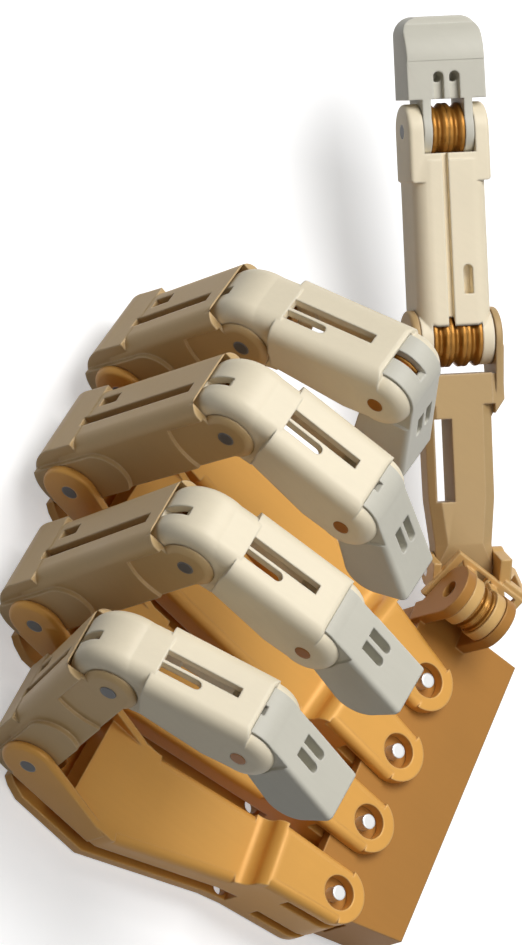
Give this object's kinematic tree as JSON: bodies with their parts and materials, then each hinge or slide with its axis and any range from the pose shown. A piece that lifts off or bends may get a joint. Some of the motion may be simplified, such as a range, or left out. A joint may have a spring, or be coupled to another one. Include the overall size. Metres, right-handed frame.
{
  "type": "robot hand",
  "caption": "Tendon-driven robot hand with a compact wrist block, long forked finger arms, hinged finger links and a pulley-driven opposable thumb.",
  "frame": {"origin": "centre of the wrist face of the palm block, at the middle of its thickness", "axes": "+Y along the hand from the wrist towards the fingers, +X towards the thumb, +Z out of the palm side; right hand"},
  "size_m": [0.1922, 0.1174, 0.0785],
  "materials": {
    "gold": "anodised light gold",
    "bronze": "anodised bronze",
    "cream": "pale cream anodised",
    "tan": "tan anodised",
    "pale": "pale grey anodised",
    "steel": "ground steel",
    "brown": "bronze-brown anodised"
  },
  "bodies": {
    "palm": {"palm_block": "bronze", "arm_pins": "steel", "thumb_base_axle": "steel"},
    "index_metacarpal": {"index_arm": "gold", "index_knuckle_pin": "steel"},
    "index_proximal": {"index_proximal": "tan", "index_knuckle_pulleys": "brown", "index_second_pin": "steel"},
    "index_middle": {"index_middle": "cream", "index_second_pulleys": "brown", "index_third_pin": "brown"},
    "index_distal": {"index_tip": "pale", "index_third_pulley": "brown"},
    "middle_metacarpal": {"middle_arm": "gold", "middle_knuckle_pin": "steel"},
    "middle_proximal": {"middle_proximal": "tan", "middle_knuckle_pulleys": "brown", "middle_second_pin": "steel"},
    "middle_middle": {"middle_middle": "cream", "middle_second_pulleys": "brown", "middle_third_pin": "brown"},
    "middle_distal": {"middle_tip": "pale", "middle_third_pulley": "brown"},
    "ring_metacarpal": {"ring_arm": "gold", "ring_knuckle_pin": "steel"},
    "ring_proximal": {"ring_proximal": "tan", "ring_knuckle_pulleys": "brown", "ring_second_pin": "steel"},
    "ring_middle": {"ring_middle": "cream", "ring_second_pulleys": "brown", "ring_third_pin": "brown"},
    "ring_distal": {"ring_tip": "pale", "ring_third_pulley": "brown"},
    "little_metacarpal": {"little_arm": "gold", "little_knuckle_pin": "steel"},
    "little_proximal": {"little_proximal": "tan", "little_knuckle_pulleys": "brown", "little_second_pin": "steel"},
    "little_middle": {"little_middle": "cream", "little_second_pulleys": "brown", "little_third_pin": "brown"},
    "little_distal": {"little_tip": "pale", "little_third_pulley": "brown"},
    "thumb_bracket": {"thumb_bracket": "gold", "thumb_base_pulleys": "brown", "thumb_swing_pin": "steel"},
    "thumb_metacarpal": {"thumb_metacarpal": "tan", "thumb_knuckle_pin": "steel"},
    "thumb_proximal": {"thumb_proximal": "cream", "thumb_knuckle_pulleys": "brown", "thumb_tip_pin": "steel"},
    "thumb_distal": {"thumb_tip": "pale", "thumb_tip_pulleys": "brown"}
  },
  "joints": [
    {"name": "index_spread", "type": "hinge", "parent": "palm", "child": "index_metacarpal", "pos_m": [0.01755, 0.0192, 0], "axis": [0, 0, 1], "range_deg": [-4, 0.4]},
    {"name": "index_knuckle", "type": "hinge", "parent": "index_metacarpal", "child": "index_proximal", "pos_m": [0.04246, 0.10495, 0.0032], "axis": [0.9781, -0.2079, 0], "range_deg": [-92, 8]},
    {"name": "index_second_joint", "type": "hinge", "parent": "index_proximal", "child": "index_middle", "pos_m": [0.0422, 0.10369, 0.04018], "axis": [0.9781, -0.2079, 0], "range_deg": [-43, 57]},
    {"name": "index_third_joint", "type": "hinge", "parent": "index_middle", "child": "index_distal", "pos_m": [0.03764, 0.08225, 0.0621], "axis": [0.9781, -0.2079, 0], "range_deg": [-97, 3]},
    {"name": "middle_spread", "type": "hinge", "parent": "palm", "child": "middle_metacarpal", "pos_m": [0, 0.0192, 0], "axis": [0, 0, 1], "range_deg": [-0.4, 1.4]},
    {"name": "middle_knuckle", "type": "hinge", "parent": "middle_metacarpal", "child": "middle_proximal", "pos_m": [0.01673, 0.10692, 0.0032], "axis": [0.9863, -0.165, 0], "range_deg": [-92, 8]},
    {"name": "middle_second_joint", "type": "hinge", "parent": "middle_proximal", "child": "middle_middle", "pos_m": [0.01639, 0.10485, 0.05115], "axis": [0.9863, -0.165, 0], "range_deg": [-71, 29]},
    {"name": "middle_third_joint", "type": "hinge", "parent": "middle_middle", "child": "middle_distal", "pos_m": [0.0118, 0.07743, 0.05939], "axis": [0.9863, -0.165, 0], "range_deg": [-46, 50]},
    {"name": "ring_spread", "type": "hinge", "parent": "palm", "child": "ring_metacarpal", "pos_m": [-0.01755, 0.0192, 0], "axis": [0, 0, 1], "range_deg": [-1.6, 0.8]},
    {"name": "ring_knuckle", "type": "hinge", "parent": "ring_metacarpal", "child": "ring_proximal", "pos_m": [-0.01303, 0.10258, 0.0032], "axis": [0.9925, -0.1219, 0], "range_deg": [-90, 8]},
    {"name": "ring_second_joint", "type": "hinge", "parent": "ring_proximal", "child": "ring_middle", "pos_m": [-0.01309, 0.10216, 0.0512], "axis": [0.9925, -0.1219, 0], "range_deg": [-74, 26]},
    {"name": "ring_third_joint", "type": "hinge", "parent": "ring_middle", "child": "ring_distal", "pos_m": [-0.01649, 0.07443, 0.05895], "axis": [0.9925, -0.1219, 0], "range_deg": [-22, 70]},
    {"name": "little_spread", "type": "hinge", "parent": "palm", "child": "little_metacarpal", "pos_m": [-0.0351, 0.0192, 0], "axis": [0, 0, 1], "range_deg": [-0.6, 6]},
    {"name": "little_knuckle", "type": "hinge", "parent": "little_metacarpal", "child": "little_proximal", "pos_m": [-0.0399, 0.09154, 0.0032], "axis": [0.9945, -0.1045, 0], "range_deg": [-76, 14]},
    {"name": "little_second_joint", "type": "hinge", "parent": "little_proximal", "child": "little_middle", "pos_m": [-0.03899, 0.1002, 0.03813], "axis": [0.9945, -0.1045, 0], "range_deg": [-72, 27]},
    {"name": "little_third_joint", "type": "hinge", "parent": "little_middle", "child": "little_distal", "pos_m": [-0.04158, 0.07561, 0.05328], "axis": [0.9945, -0.1045, 0], "range_deg": [-42, 55]},
    {"name": "thumb_base", "type": "hinge", "parent": "palm", "child": "thumb_bracket", "pos_m": [0.0346, 0.01915, 0.0147], "axis": [0, 1, 0], "range_deg": [-45, 6]},
    {"name": "thumb_swing", "type": "hinge", "parent": "thumb_bracket", "child": "thumb_metacarpal", "pos_m": [0.04585, 0.02065, 0.00627], "axis": [0.4956, -0.7749, 0.3923], "range_deg": [-30, 15]},
    {"name": "thumb_knuckle", "type": "hinge", "parent": "thumb_metacarpal", "child": "thumb_proximal", "pos_m": [0.08232, 0.04875, 0.0157], "axis": [0.4956, -0.7749, 0.3923], "range_deg": [-15, 60]},
    {"name": "thumb_tip_joint", "type": "hinge", "parent": "thumb_proximal", "child": "thumb_distal", "pos_m": [0.11538, 0.07422, 0.02425], "axis": [0.4956, -0.7749, 0.3923], "range_deg": [-10, 75]}
  ]
}
